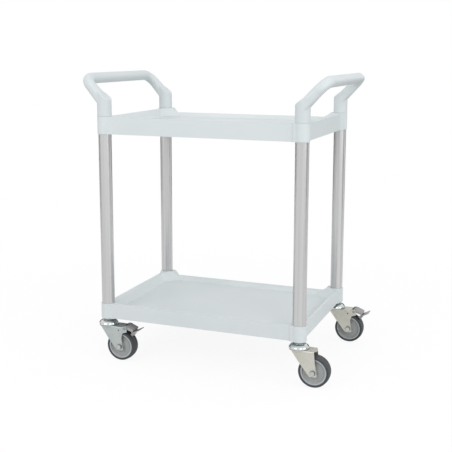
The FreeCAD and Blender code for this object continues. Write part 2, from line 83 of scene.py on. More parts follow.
class Corner(Enum):
    """The four casters, by the signs of their place in x and y."""

    FRONT_LEFT = (-1, -1)
    FRONT_RIGHT = (1, -1)
    REAR_LEFT = (-1, 1)
    REAR_RIGHT = (1, 1)

    @property
    def label(self) -> str:
        """The corner's name as the nodes and bodies use it."""
        return self.name.lower()

    @property
    def left(self) -> bool:
        """Whether the corner is at the trolley's left end."""
        return self.value[0] < 0

    @property
    def braked(self) -> bool:
        """Whether the caster at this corner has a brake."""
        return self in (Corner.FRONT_LEFT, Corner.REAR_RIGHT)


# Shader building


@dataclass(frozen=True)
class Pattern:
    """A noise over a piece, and the mask that is made of it.

    Attributes:
        cells: Noise cells in a metre.
        detail: How many finer layers it has.
        stretch: The scale along each axis.
        harshness: How strong the finer layers are.
        span: The part of the noise that its mask spreads over 0 to 1.
        share: How strong the mask is.
    """

    cells: float
    detail: float = 2.0
    stretch: Triple = (1.0, 1.0, 1.0)
    harshness: float = 0.5
    span: Span = (0.0, 1.0)
    share: float = 1.0


class Value:
    """A number socket that takes part in Python sums, each of which adds its Math node."""

    def __init__(self, recipe: "Recipe", socket: Socket) -> None:
        """Wrap an output socket of a recipe's node tree."""
        self.recipe = recipe
        self.socket = socket

    def _maths(self, operation: str, first: Feed, second: Feed) -> "Value":
        """Add one Math node, fed by two values, and return its result."""
        node = self.recipe.add("ShaderNodeMath", {"operation": operation}, {0: first, 1: second})
        return Value(self.recipe, node.outputs[0])

    def __add__(self, other: Feed) -> "Value":
        """Return self + other."""
        return self._maths("ADD", self, other)

    def __radd__(self, other: Feed) -> "Value":
        """Return other + self."""
        return self._maths("ADD", other, self)

    def __sub__(self, other: Feed) -> "Value":
        """Return self - other."""
        return self._maths("SUBTRACT", self, other)

    def __rsub__(self, other: Feed) -> "Value":
        """Return other - self."""
        return self._maths("SUBTRACT", other, self)

    def __mul__(self, other: Feed) -> "Value":
        """Return self * other."""
        return self._maths("MULTIPLY", self, other)

    def __rmul__(self, other: Feed) -> "Value":
        """Return other * self."""
        return self._maths("MULTIPLY", other, self)

    def __pow__(self, other: Feed) -> "Value":
        """Return self ** other."""
        return self._maths("POWER", self, other)

    def at_most(self, other: Feed) -> "Value":
        """Return the smaller of self and other."""
        return self._maths("MINIMUM", self, other)

    def at_least(self, other: Feed) -> "Value":
        """Return the larger of self and other."""
        return self._maths("MAXIMUM", self, other)

    def with_some(self, other: "Value", share: float) -> "Value":
        """Return self with a share of other in it."""
        return self * (1.0 - share) + other * share

    def ramped(self, low: float, high: float) -> "Value":
        """Spread the stretch from low to high smoothly over 0 to 1.

        Args:
            low: The value that becomes 0.
            high: The value that becomes 1.

        Returns:
            The spread value, held between 0 and 1.
        """
        feeds = {"Value": self, "From Min": low, "From Max": high}
        settings = {"interpolation_type": "SMOOTHSTEP"}
        node = self.recipe.add("ShaderNodeMapRange", settings, feeds)
        return Value(self.recipe, node.outputs["Result"])


class Noise(Value):
    """The value of a pattern's noise, about 0.5 on average."""

    def __init__(self, recipe: "Recipe", socket: Socket, pattern: Pattern) -> None:
        """Wrap the noise's socket and keep its pattern."""
        super().__init__(recipe, socket)
        self.pattern = pattern

    @cached_property
    def mask(self) -> Value:
        """The noise spread over its pattern's span, at its pattern's share."""
        return self.ramped(*self.pattern.span) * self.pattern.share

    def swing(self, reach: float) -> Value:
        """Return the noise about zero, by half of reach either way at most."""
        return (self - NOISE_MIDDLE) * reach


class Recipe:
    """The node tree of a material or of the world while it is written."""

    def __init__(self, holder: Union[Material, bpy.types.World]) -> None:
        """Start with an empty tree.

        Args:
            holder: The material or the world.
        """
        self.holder = holder
        self.holder.use_nodes = True
        self.tree = self.holder.node_tree
        self.tree.nodes.clear()

    @classmethod
    def named(cls, name: str) -> "Recipe":
        """Start a new material of that name."""
        return cls(bpy.data.materials.new(name))

    @cached_property
    def place(self) -> Socket:
        """The object's coordinates."""
        return self.add("ShaderNodeTexCoord", {}, {}).outputs["Object"]

    def add(self, kind: str, settings: Mapping[str, Any], feeds: Feeds) -> bpy.types.Node:
        """Add a node, set its settings and then feed its sockets.

        Args:
            kind: The node's type.
            settings: The node's own settings.
            feeds: The numbers, colours or links of its sockets, by name or number.

        Returns:
            The new node.
        """
        node = self.tree.nodes.new(kind)
        for key, setting in settings.items():
            setattr(node, key, setting)
        for key, feed in feeds.items():
            entry = node.inputs[key]
            source = feed.socket if isinstance(feed, Value) else feed
            if isinstance(source, Socket):
                self.tree.links.new(source, entry)
            else:
                entry.default_value = (*source, 1.0) if entry.type == "RGBA" else source
        return node

    def placed(self, operation: str, by: Sequence[float]) -> Socket:
        """Return the object's coordinates after one Vector Math operation by a vector."""
        feeds = {0: self.place, 1: tuple(by)}
        return self.add("ShaderNodeVectorMath", {"operation": operation}, feeds).outputs["Vector"]

    def parts(self, vector: Feed) -> Tuple[Value, Value, Value]:
        """Split coordinates into their x, y and z."""
        node = self.add("ShaderNodeSeparateXYZ", {}, {0: vector})
        return tuple(Value(self, node.outputs[name]) for name in "XYZ")

    def reach_from(self, axle: Triple) -> Value:
        """Return the distance from an axle, which runs along y, in metres."""
        across, _, up = self.parts(self.placed("SUBTRACT", axle))
        return (across * across + up * up) ** 0.5

    def noise(self, pattern: Pattern) -> Noise:
        """Add a pattern's noise over the object.

        Args:
            pattern: The pattern.

        Returns:
            The noise.
        """
        feeds = {
            "Vector": self.placed("MULTIPLY", pattern.stretch),
            "Scale": pattern.cells,
            "Detail": pattern.detail,
            "Roughness": pattern.harshness,
        }
        node = self.add("ShaderNodeTexNoise", {"noise_dimensions": "3D"}, feeds)
        return Noise(self, node.outputs[0], pattern)

    def grains(self, per_metre: float, edge: float = 0.6) -> Value:
        """Add a pattern of small cells.

        Args:
            per_metre: Grains in a metre.
            edge: How far from a grain's middle its flat border starts.

        Returns:
            The distance from each grain's middle, as far as its edge.
        """
        feeds = {"Vector": self.place, "Scale": per_metre}
        node = self.add("ShaderNodeTexVoronoi", {"feature": "F1"}, feeds)
        return Value(self, node.outputs["Distance"]).at_most(edge)

    def blend(self, factor: Feed, low: Feed, high: Feed) -> Socket:
        """Mix two colours by a factor, from 0 for the first to 1 for the second."""
        feeds = {0: factor, 6: low, 7: high}
        return self.add("ShaderNodeMix", {"data_type": "RGBA"}, feeds).outputs[2]

    def relief(self, height: Feed, depth: float, under: Optional[Socket] = None) -> Socket:
        """Turn heights into a bump.

        Args:
            height: The height, 0 to 1.
            depth: What a height of 1 stands for, in metres.
            under: The bump that this one lies on.

        Returns:
            The bumped normal.
        """
        feeds = {"Height": height, "Distance": depth, "Strength": 1.0}
        if under is not None:
            feeds["Normal"] = under
        return self.add("ShaderNodeBump", {}, feeds).outputs["Normal"]

    def glow(self, colour: Colour) -> Socket:
        """Add an even glow of one colour."""
        feeds = {"Color": colour, "Strength": 1.0}
        return self.add("ShaderNodeEmission", {}, feeds).outputs["Emission"]

    def seen(self) -> Value:
        """Tell the rays that see the background white from those that light the object.

        Returns:
            1 on camera, glossy and transmission rays, and 0 on all others.
        """
        path = self.add("ShaderNodeLightPath", {}, {})
        camera, glossy, through = (
            Value(self, path.outputs[f"Is {kind} Ray"])
            for kind in ("Camera", "Glossy", "Transmission")
        )
        return camera.at_least(glossy).at_least(through)

    def mixed(self, share: Feed, low: Feed, high: Feed) -> Socket:
        """Mix two shaders by a share from 0 to 1."""
        feeds = {0: share, 1: low, 2: high}
        return self.add("ShaderNodeMixShader", {}, feeds).outputs["Shader"]

    def close(self, surface: Socket) -> bpy.types.ID:
        """Join a surface to the tree's output.

        Args:
            surface: The shader that shows.

        Returns:
            The finished material or world.
        """
        kind = "World" if isinstance(self.holder, bpy.types.World) else "Material"
        self.add("ShaderNodeOutput" + kind, {}, {"Surface": surface})
        return self.holder

    def finish(self, **feeds: Feed) -> Material:
        """Close the tree with a Principled shader, whose sockets are named with _ for a space."""
        named = {key.replace("_", " "): feed for key, feed in feeds.items()}
        return self.close(self.add("ShaderNodeBsdfPrincipled", {}, named).outputs["BSDF"])


# Finishes


@dataclass(frozen=True)
class MouldedPlastic:
    """Pale injection-moulded plastic with a fine grain."""

    name: str = "pale moulded plastic"
    body: Colour = (0.640, 0.688, 0.690)
    cloud: Colour = (0.662, 0.704, 0.708)
    flow: Colour = (0.620, 0.668, 0.672)
    clouds: Pattern = Pattern(5.0, 3.0, span=(0.35, 0.68))
    flows: Pattern = Pattern(16.0, 4.0, (1.0, 0.35, 0.6), 0.6, span=(0.52, 0.78), share=0.45)
    scuffs: Pattern = Pattern(46.0, 5.0, (0.25, 1.0, 0.7), 0.62, span=(0.60, 0.74), share=0.08)
    waves: Pattern = Pattern(7.0, 1.0)
    wave_depth: float = 0.6 * MM
    grain_per_metre: float = 900.0
    grain_depth: float = 0.04 * MM
    roughness: float = 0.46
    cloud_roughness: float = 0.10
    specular: float = 0.42

    def material(self) -> Material:
        """Write the plastic's nodes.

        Returns:
            The finished material.
        """
        recipe = Recipe.named(self.name)
        patterns = (self.clouds, self.flows, self.scuffs, self.waves)
        clouds, flows, scuffs, waves = map(recipe.noise, patterns)
        colour = recipe.blend(clouds.mask, self.body, self.cloud)
        soft = recipe.relief(waves, self.wave_depth)
        return recipe.finish(
            Base_Color=recipe.blend(flows.mask, colour, self.flow),
            Roughness=self.roughness + scuffs.mask + clouds.swing(self.cloud_roughness),
            Normal=recipe.relief(recipe.grains(self.grain_per_metre), self.grain_depth, soft),
            Specular_IOR_Level=self.specular,
        )


@dataclass(frozen=True)
class AnodisedAluminium:
    """Drawn aluminium tube, satin anodised, with fine lines along the draw."""

    name: str = "satin anodised aluminium"
    bright: Colour = (0.615, 0.615, 0.615)
    dull: Colour = (0.522, 0.522, 0.527)
    bands: Pattern = Pattern(190.0, 2.0, (1.0, 1.0, 0.004), span=(0.30, 0.72))
    lines: Pattern = Pattern(1500.0, 3.0, (1.0, 1.0, 0.003), 0.7, span=(0.45, 0.70), share=0.30)
    clouds: Pattern = Pattern(12.0, 2.0)
    specks: Pattern = Pattern(420.0, 3.0)
    speck_share: float = 0.2
    relief_depth: float = 0.02 * MM
    roughness: float = 0.34
    line_roughness: float = 0.22
    cloud_roughness: float = 0.10

    def material(self) -> Material:
        """Write the metal's nodes.

        Returns:
            The finished material.
        """
        recipe = Recipe.named(self.name)
        patterns = (self.bands, self.lines, self.clouds, self.specks)
        bands, lines, clouds, specks = map(recipe.noise, patterns)
        colour = recipe.blend(bands.mask, self.dull, self.bright)
        drawn = self.roughness + lines.swing(self.line_roughness)
        return recipe.finish(
            Base_Color=recipe.blend(lines.mask, colour, self.bright),
            Metallic=1.0,
            Roughness=drawn + clouds.swing(self.cloud_roughness),
            Normal=recipe.relief(lines.with_some(specks, self.speck_share), self.relief_depth),
        )


@dataclass(frozen=True)
class PlatedZinc:
    """Zinc plating on pressed, stamped and turned steel."""

    name: str
    cool: Colour
    warm: Colour
    roughness: float
    spread: float = 0.12
    pit_depth: float = 0.02 * MM
    metallic: float = 1.0
    tints: Pattern = Pattern(22.0, 3.0, (1.0, 1.0, 1.4), span=(0.36, 0.66))
    spangles: Pattern = Pattern(130.0, 4.0, harshness=0.6, span=(0.50, 0.80), share=0.50)
    spangle_tone: float = 0.78
    spangle_share: float = 0.4
    pits: Pattern = Pattern(1100.0, 3.0)
    rubs: Pattern = Pattern(260.0, 4.0, (0.12, 1.0, 1.0), 0.65)

    def material(self) -> Material:
        """Write the plating's nodes.

        Returns:
            The finished material.
        """
        recipe = Recipe.named(self.name)
        patterns = (self.tints, self.spangles, self.pits, self.rubs)
        tints, spangles, pits, rubs = map(recipe.noise, patterns)
        colour = recipe.blend(tints.mask, self.cool, self.warm)
        shade = tuple(channel * self.spangle_tone for channel in self.cool)
        return recipe.finish(
            Base_Color=recipe.blend(spangles.mask, colour, shade),
            Metallic=self.metallic,
            Roughness=self.roughness + spangles.swing(self.spread) + rubs.swing(self.spread),
            Normal=recipe.relief(pits.with_some(spangles, self.spangle_share), self.pit_depth),
        )


@dataclass(frozen=True)
class BrightCup:
    """Bright zinc on the drawn cup, with painted shade round its neck, a painted dark reflection of
    the shaded tray above, and painted shade along its lip.
    """

    name: str = "bright zinc cup"
    cool: Colour = (0.60, 0.65, 0.66)
    warm: Colour = (0.68, 0.68, 0.66)
    grease: Colour = (0.105, 0.130, 0.132)
    neck: Span = (118.2 * MM, 121.4 * MM)
    neck_share: float = 0.85
    lip: Span = (107.2 * MM, 108.0 * MM)
    lip_share: float = 0.75
    tints: Pattern = Pattern(22.0, 3.0, span=(0.36, 0.66))
    smears: Pattern = Pattern(90.0, 3.0, (1.0, 1.0, 2.0))
    smear_height: float = 1.2 * MM
    smear_share: float = 0.4
    pits: Pattern = Pattern(1100.0, 3.0)
    pit_depth: float = 0.008 * MM
    roughness: float = 0.13
    greasy_roughness: float = 0.12
    smear_roughness: float = 0.07

    def material(self) -> Material:
        """Write the cup's nodes.

        Returns:
            The finished material.
        """
        recipe = Recipe.named(self.name)
        tints, smears, pits = map(recipe.noise, (self.tints, self.smears, self.pits))
        _, _, up = recipe.parts(recipe.place)
        # Painted shade: the neck takes the dark colour as a painted reflection of the shaded tray
        # above it, and the lip as a painted shadow line along its foot.
        neck = (up + smears.swing(self.smear_height)).ramped(*self.neck)
        lip = 1.0 - up.ramped(*self.lip)
        colour = recipe.blend(tints.mask, self.cool, self.warm)
        painted_shade_mask = neck * self.neck_share + lip * self.lip_share
        worn = self.roughness + neck * self.greasy_roughness
        return recipe.finish(
            Base_Color=recipe.blend(painted_shade_mask, colour, self.grease),
            Metallic=1.0,
            Roughness=worn + smears.swing(self.smear_roughness),
            Normal=recipe.relief(pits.with_some(smears, self.smear_share), self.pit_depth),
        )


@dataclass(frozen=True)
class BoltSteel:
    """Plated steel of an axle bolt and nut, with painted shade round the foot of the hexagon."""

    name: str
    axle: Triple
    plating: Colour = (0.52, 0.55, 0.55)
    worn: Colour = (0.46, 0.48, 0.48)
    grease: Colour = (0.150, 0.160, 0.155)
    ring: Span = (5.7 * MM, 6.7 * MM)
    ring_share: float = 0.80
    blotches: Pattern = Pattern(420.0, 3.0, span=(0.40, 0.66))
    blotch_reach: float = 1.0 * MM
    blotch_share: float = 0.4
    pits: Pattern = Pattern(2600.0, 2.0)
    pit_depth: float = 0.01 * MM
    roughness: float = 0.20
    greasy_roughness: float = 0.16
    blotch_roughness: float = 0.06

    def material(self) -> Material:
        """Write the bolt's nodes.

        Returns:
            The finished material.
        """
        recipe = Recipe.named(self.name)
        blotches, pits = map(recipe.noise, (self.blotches, self.pits))
        reach = recipe.reach_from(self.axle)
        # Painted shade: beyond the hexagon's flanks, round its foot, the steel takes the dark
        # colour in place of the shadow and dark reflection there.
        ring = (reach + blotches.swing(self.blotch_reach)).ramped(*self.ring)
        colour = recipe.blend(blotches.mask, self.plating, self.worn)
        worn = self.roughness + ring * self.greasy_roughness
        return recipe.finish(
            Base_Color=recipe.blend(ring * self.ring_share, colour, self.grease),
            Metallic=1.0,
            Roughness=worn + blotches.swing(self.blotch_roughness),
            Normal=recipe.relief(pits.with_some(blotches, self.blotch_share), self.pit_depth),
        )


@dataclass(frozen=True)
class WheelPlastic:
    """Grey moulded wheel core with a paler rim ring, centred on its own axle."""

    name: str
    axle: Triple
    web: Colour = (0.345, 0.358, 0.352)
    rim: Colour = (0.430, 0.462, 0.490)
    rim_edge: Span = (32.6 * MM, 33.8 * MM)
    hub: Colour = (0.270, 0.280, 0.280)
    hub_edge: Span = (12.5 * MM, 15.0 * MM)
    stain: Colour = (0.36, 0.35, 0.33)
    stain_from: float = 0.3
    stain_share: float = 0.30
    clouds: Pattern = Pattern(60.0, 3.0)
    flows: Pattern = Pattern(150.0, 3.0, (1.0, 0.3, 1.0))
    flow_share: float = 0.4
    grain_per_metre: float = 1500.0
    relief_depth: float = 0.04 * MM
    roughness: float = 0.44
    flow_roughness: float = 0.18
    specular: float = 0.45

    def material(self) -> Material:
        """Write the core's nodes.

        Returns:
            The finished material.
        """
        recipe = Recipe.named(self.name)
        clouds, flows = map(recipe.noise, (self.clouds, self.flows))
        reach = recipe.reach_from(self.axle)
        colour = recipe.blend(reach.ramped(*self.rim_edge), self.web, self.rim)
        colour = recipe.blend(1.0 - reach.ramped(*self.hub_edge), colour, self.hub)
        stained = (clouds - self.stain_from) * self.stain_share
        height = recipe.grains(self.grain_per_metre).with_some(flows, self.flow_share)
        return recipe.finish(
            Base_Color=recipe.blend(stained, colour, self.stain),
            Roughness=self.roughness + flows.swing(self.flow_roughness),
            Normal=recipe.relief(height, self.relief_depth),
            Specular_IOR_Level=self.specular,
        )


@dataclass(frozen=True)
class TyreRubber:
    """Dark grey wheel rubber, dusty on the tread and cleaner on the sides."""

    name: str
    axle: Triple
    side: Colour = (0.050, 0.054, 0.057)
    tread: Colour = (0.066, 0.068, 0.071)
    tread_edge: Span = (43.2 * MM, 44.6 * MM)
    dust: Colour = (0.150, 0.145, 0.138)
    dust_share: float = 0.60
    scuffs: Pattern = Pattern(240.0, 5.0, (1.0, 0.5, 1.0), 0.62, span=(0.46, 0.76))
    scuff_share: float = 0.5
    patches: Pattern = Pattern(46.0, 3.0, span=(0.35, 0.70))
    grit: Pattern = Pattern(1700.0, 3.0)
    relief_depth: float = 0.06 * MM
    roughness: float = 0.50
    tread_roughness: float = 0.16
    scuff_roughness: float = 0.14
    specular: float = 0.40

    def material(self) -> Material:
        """Write the rubber's nodes.

        Returns:
            The finished material.
        """
        recipe = Recipe.named(self.name)
        scuffs, patches, grit = map(recipe.noise, (self.scuffs, self.patches, self.grit))
        rolling = recipe.reach_from(self.axle).ramped(*self.tread_edge)
        colour = recipe.blend(rolling, self.side, self.tread)
        dusty = rolling * scuffs.mask * patches.mask * self.dust_share
        worn = self.roughness + rolling * self.tread_roughness
        return recipe.finish(
            Base_Color=recipe.blend(dusty, colour, self.dust),
            Roughness=worn + scuffs.swing(self.scuff_roughness),
            Normal=recipe.relief(grit.with_some(scuffs, self.scuff_share), self.relief_depth),
            Specular_IOR_Level=self.specular,
        )


@dataclass(frozen=True)
class Finishes:
    """The finishes that several pieces share, each made into a material once."""

    plastic: MouldedPlastic = MouldedPlastic()
    handle: MouldedPlastic = MouldedPlastic(
        name="pale handle plastic",
        body=(0.618, 0.663, 0.671),
        cloud=(0.630, 0.672, 0.678),
        flow=(0.592, 0.640, 0.646),
        roughness=0.42,
        grain_depth=0.02 * MM,
    )
    plug: MouldedPlastic = MouldedPlastic(
        name="dark plug plastic",
        body=(0.050, 0.053, 0.056),
        cloud=(0.062, 0.064, 0.067),
        flow=(0.040, 0.042, 0.045),
    )
    tube: AnodisedAluminium = AnodisedAluminium()
    cup: BrightCup = BrightCup()
    cool_sheet: PlatedZinc = PlatedZinc(
        "pressed sheet, cool zinc", (0.440, 0.486, 0.480), (0.490, 0.522, 0.508),
        roughness=0.46, metallic=0.80,
    )
    # Painted light: a warmer, brighter copy of the cool sheet for the right-hand casters, standing
    # in for the warm light that falls on that side.
    warm_sheet: PlatedZinc = PlatedZinc(
        "pressed sheet, warm zinc", (0.552, 0.540, 0.474), (0.592, 0.584, 0.528),
        roughness=0.46, metallic=0.80,
    )
    pedal: PlatedZinc = PlatedZinc(
        "stamped pedal, zinc plated", (0.350, 0.336, 0.348), (0.405, 0.394, 0.390),
        roughness=0.50, spread=0.14, pit_depth=0.04 * MM, metallic=0.35,
    )
    bolt: PlatedZinc = PlatedZinc(
        "turned steel, zinc plated", (0.54, 0.57, 0.57), (0.60, 0.60, 0.57),
        roughness=0.22, spread=0.10,
    )
    rivet: PlatedZinc = PlatedZinc(
        "peened pin, dull steel", (0.27, 0.28, 0.29), (0.32, 0.32, 0.31), roughness=0.36
    )


# Modelling by edit-mode operators


def both_sides(side: Outline, middle: Outline = ()) -> Outline:
    """Mirror one side of a turned section across the piece's middle, and close it."""
    mirrored = tuple((radius, -along) for radius, along in reversed(side))
    return (*side, *middle, *mirrored, side[0])


@dataclass(frozen=True)
class Edge:
    """How the edges of a piece are rounded and shaded.

    Attributes:
        width: The rounding's width in millimetres.
        segments: Its segments.
        rounded_from: The least turn of an edge that is rounded, in degrees.
        shaded_from: The turn from which an edge stays sharp in the shading, in degrees.
        flat_under: The turn between faces that still counts as flat, in degrees.
        weighted: Whether large faces keep their flat look.
    """

    width: float
    segments: int = 2
    rounded_from: float = 40.0
    shaded_from: float = 35.0
    flat_under: float = 0.4
    weighted: bool = True


class Workpiece:
    """A mesh object while it is modelled with edit-mode operators."""

    def __init__(self, thing: bpy.types.Object) -> None:
        """Take a mesh object on as the piece in work."""
        self.thing = thing

    @staticmethod
    def clear_selection() -> None:
        """Leave edit mode and deselect every object."""
        if bpy.context.mode != "OBJECT":
            bpy.ops.object.mode_set(mode="OBJECT")
        bpy.ops.object.select_all(action="DESELECT")

    def select(self, *others: "Workpiece") -> None:
        """Select this piece as the active one, with any others beside it.

        Args:
            others: The pieces that are selected with it.
        """
        self.clear_selection()
        for piece in (self, *others):
            piece.thing.select_set(True)
        bpy.context.view_layer.objects.active = self.thing

    @contextmanager
    def editing(self) -> Iterator[None]:
        """Work in edit mode on this piece alone, with all its vertices selected.

        Yields:
            Nothing, while edit mode is on.
        """
        self.select()
        bpy.ops.object.mode_set(mode="EDIT")
        bpy.ops.mesh.select_mode(type="VERT")
        bpy.ops.mesh.select_all(action="SELECT")
        yield
        bpy.ops.object.mode_set(mode="OBJECT")

    @classmethod
    def copied(cls, node: str, name: str) -> "Workpiece":
        """Copy a CAD node's mesh and merge its loose triangles.

        Args:
            node: The CAD node.
            name: The new piece's name.

        Returns:
            The copy.
        """
        piece = cls(bpy.data.objects.new(name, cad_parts[node].data.copy()))
        bpy.context.scene.collection.objects.link(piece.thing)
        with piece.editing():
            bpy.ops.mesh.remove_doubles(threshold=SAME_POINT)
        return piece

    @classmethod
    def turned(
        cls, name: str, axis: Axis, outline: Outline, shaded_from: float, sides: int = 96
    ) -> "Workpiece":
        """Turn a piece ring by ring: a circle is extruded along the axis and resized at each step.

        Args:
            name: The piece's name.
            axis: The line through the origin that it is turned about.
            outline: The rings in order, the first repeated at the end for a closed section.
            shaded_from: The turn from which an edge stays sharp, in degrees.
            sides: The sides of each ring.

        Returns:
            The closed piece.
        """
        cls.clear_selection()
        radius, along = outline[0]
        bpy.ops.mesh.primitive_circle_add(
            vertices=sides,
            radius=radius * MM,
            fill_type="NOTHING",
            location=axis.line * along * MM,
            rotation=axis.turn,
        )
        piece = cls(bpy.context.active_object)
        piece.thing.name = name
        with piece.editing():
            if outline[0] != outline[-1]:
                bpy.ops.mesh.edge_face_add()
            for (radius, along), (new_radius, new_along) in zip(outline, outline[1:]):
                move = axis.line * (new_along - along) * MM
                bpy.ops.mesh.extrude_region_move(TRANSFORM_OT_translate={"value": move})
                if new_radius != radius:
                    ratio = new_radius / radius
                    middle = axis.line * new_along * MM
                    bpy.ops.transform.resize(value=(ratio, ratio, ratio), center_override=middle)
            bpy.ops.mesh.select_all(action="SELECT")
            bpy.ops.mesh.remove_doubles(threshold=SAME_POINT)
            bpy.ops.mesh.normals_make_consistent(inside=False)
        return piece.seated().smoothed(shaded_from)

    def repeated(self, name: str, move: Vector) -> "Workpiece":
        """Copy the finished piece to another place, with a mesh of its own.

        Args:
            name: The copy's name.
            move: How far it is moved, in metres.

        Returns:
            The copy.
        """
        thing = self.thing.copy()
        thing.data = self.thing.data.copy()
        thing.name = name
        bpy.context.scene.collection.objects.link(thing)
        thing.data.transform(Matrix.Translation(move))
        return Workpiece(thing)

    def cleared(self) -> None:
        """Take away a pattern once its copies are made."""
        bpy.data.objects.remove(self.thing)

    def choose_faces(self, way: Vector) -> None:
        """Select, in edit mode, the faces that look one way.

        Args:
            way: The way they look, as a unit vector in the trolley's frame.
        """
        bpy.ops.mesh.select_mode(type="FACE")
        bpy.ops.mesh.select_all(action="DESELECT")
        mesh = bmesh.from_edit_mesh(self.thing.data)
        turn = self.thing.matrix_world.to_3x3()
        for face in mesh.faces:
            face.select_set((turn @ face.normal).dot(way) > SAME_WAY)
        bmesh.update_edit_mesh(self.thing.data)

    def seated(self) -> "Workpiece":
        """Put the piece's place, turn and scale into its mesh.

        Returns:
            This piece.
        """
        self.select()
        bpy.ops.object.transform_apply(location=True, rotation=True, scale=True)
        return self

    def modified(self, kind: str, **settings: Any) -> "Workpiece":
        """Add a modifier and apply it.

        Args:
            kind: The modifier's type.
            settings: Its settings.

        Returns:
            This piece.
        """
        self.select()
        modifier = self.thing.modifiers.new(kind.lower(), kind)
        for key, setting in settings.items():
            setattr(modifier, key, setting)
        bpy.ops.object.modifier_apply(modifier=modifier.name)
        return self

    def rounded(self, edge: Edge) -> "Workpiece":
        """Round the sharp edges.

        Args:
            edge: How they are rounded.

        Returns:
            This piece.
        """
        return self.modified(
            "BEVEL",
            width=edge.width * MM,
            segments=edge.segments,
            limit_method="ANGLE",
            angle_limit=math.radians(edge.rounded_from),
            use_clamp_overlap=True,
        )

    def smoothed(self, degrees: float, weighted: bool = False) -> "Workpiece":
        """Shade the piece smooth but for its sharp edges.

        Args:
            degrees: The turn from which an edge stays sharp.
            weighted: Whether large faces keep their flat look.

        Returns:
            This piece.
        """
        self.select()
        bpy.ops.object.shade_smooth_by_angle(angle=math.radians(degrees))
        if weighted:
            self.modified("WEIGHTED_NORMAL", keep_sharp=True)
        return self

    def softened(self, edge: Edge) -> "Workpiece":
        """Join the triangles of each flat face, then round and shade the piece.

        Args:
            edge: How its edges look.

        Returns:
            This piece.
        """
        with self.editing():
            bpy.ops.mesh.dissolve_limited(angle_limit=math.radians(edge.flat_under))
        return self.rounded(edge).smoothed(edge.shaded_from, edge.weighted)

    def joined(self, *others: "Workpiece") -> "Workpiece":
        """Join other pieces into this one.

        Args:
            others: The pieces that end in this one.

        Returns:
            This piece.
        """
        self.select(*others)
        bpy.ops.object.join()
        return self

    def fitted(self, body: str, slot: str, material: Material, replaced: str) -> None:
        """Give the piece its finish and set it on its body.

        Args:
            body: The CAD body that it moves with.
            slot: The record's material slot, which is not used.
            material: Its finish.
            replaced: The CAD node that it stands for.
        """
        mesh = self.thing.data
        mesh.materials.clear()
        mesh.materials.append(material)
        for polygon in mesh.polygons:
            polygon.material_index = 0
        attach(self.thing, body)
        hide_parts(replaced)
        LOG.info("%s: %d faces on %s", self.thing.name, len(mesh.polygons), body)


def dress_node(node: str, material: Material) -> None:
    """Give a CAD node its finish in its object's material slots.

    Args:
        node: The CAD node.
        material: Its finish.
    """
    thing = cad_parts[node]
    if not thing.material_slots:
        thing.data.materials.append(material)
    for slot in thing.material_slots:
        slot.link = "OBJECT"
        slot.material = material
    LOG.info("%s: dressed in %s", node, material.name)


# Sub-assemblies


@dataclass
class Trays:
    """The two moulded trays."""

    edge: Edge = Edge(0.7, 3, rounded_from=32.0, shaded_from=38.0, flat_under=0.6)
    names: Tuple[str, ...] = ("top_tray", "bottom_tray")

    def build(self, finish: Material) -> None:
        """Round the mouldings' edges and dress them.

        Args:
            finish: The tray plastic.
        """
        for name in self.names:
            piece = Workpiece.copied(name, name + "_moulding").softened(self.edge)
            piece.fitted("frame", "tray_plastic", finish, name)


@dataclass
class Handles:
    """The two push handles, whose arms flow into their legs, in millimetres."""

    skin_mesh: float = 1.4
    flow_rounds: int = 10
    flow_step: float = 0.5
    flow_from: float = 735.5
    flow_fade: float = 14.0
    looks_down: float = 0.55
    under_share: float = 0.15
    shaded_from: float = 60.0
    names: Tuple[str, ...] = ("handle_left", "handle_right")

    def flow_share(self, vertex: bpy.types.MeshVertex) -> float:
        """Return a vertex's part in the smoothing: none on the legs and little on undersides."""
        share = min(max((vertex.co.z / MM - self.flow_from) / self.flow_fade, 0.0), 1.0)
        return share * self.under_share if vertex.normal.z < -self.looks_down else share

    def build(self, finish: Material) -> None:
        """Skin each handle afresh so that its roots and edges are soft, and dress it.

        Args:
            finish: The handle plastic.
        """
        for name in self.names:
            piece = Workpiece.copied(name, name + "_moulding")
            piece.modified("REMESH", mode="VOXEL", voxel_size=self.skin_mesh * MM)
            group = piece.thing.vertex_groups.new(name="soft")
            for vertex in piece.thing.data.vertices:
                group.add([vertex.index], self.flow_share(vertex), "REPLACE")
            settings = {"factor": self.flow_step, "iterations": self.flow_rounds}
            piece.modified("SMOOTH", vertex_group=group.name, **settings)
            piece.thing.vertex_groups.clear()
            piece.smoothed(self.shaded_from)
            piece.fitted("frame", "handle_plastic", finish, name)


@dataclass
class Posts:
    """The drawn tubes and the plugs in their feet, whose CAD shape is already right."""

    plugs: str = "stem_plugs"

    def build(self, tube: Material, plug: Material) -> None:
        """Dress the posts and the plugs.

        Args:
            tube: The aluminium.
            plug: The plug plastic.
        """
        for corner in Corner:
            dress_node("post_" + corner.label, tube)
        dress_node(self.plugs, plug)


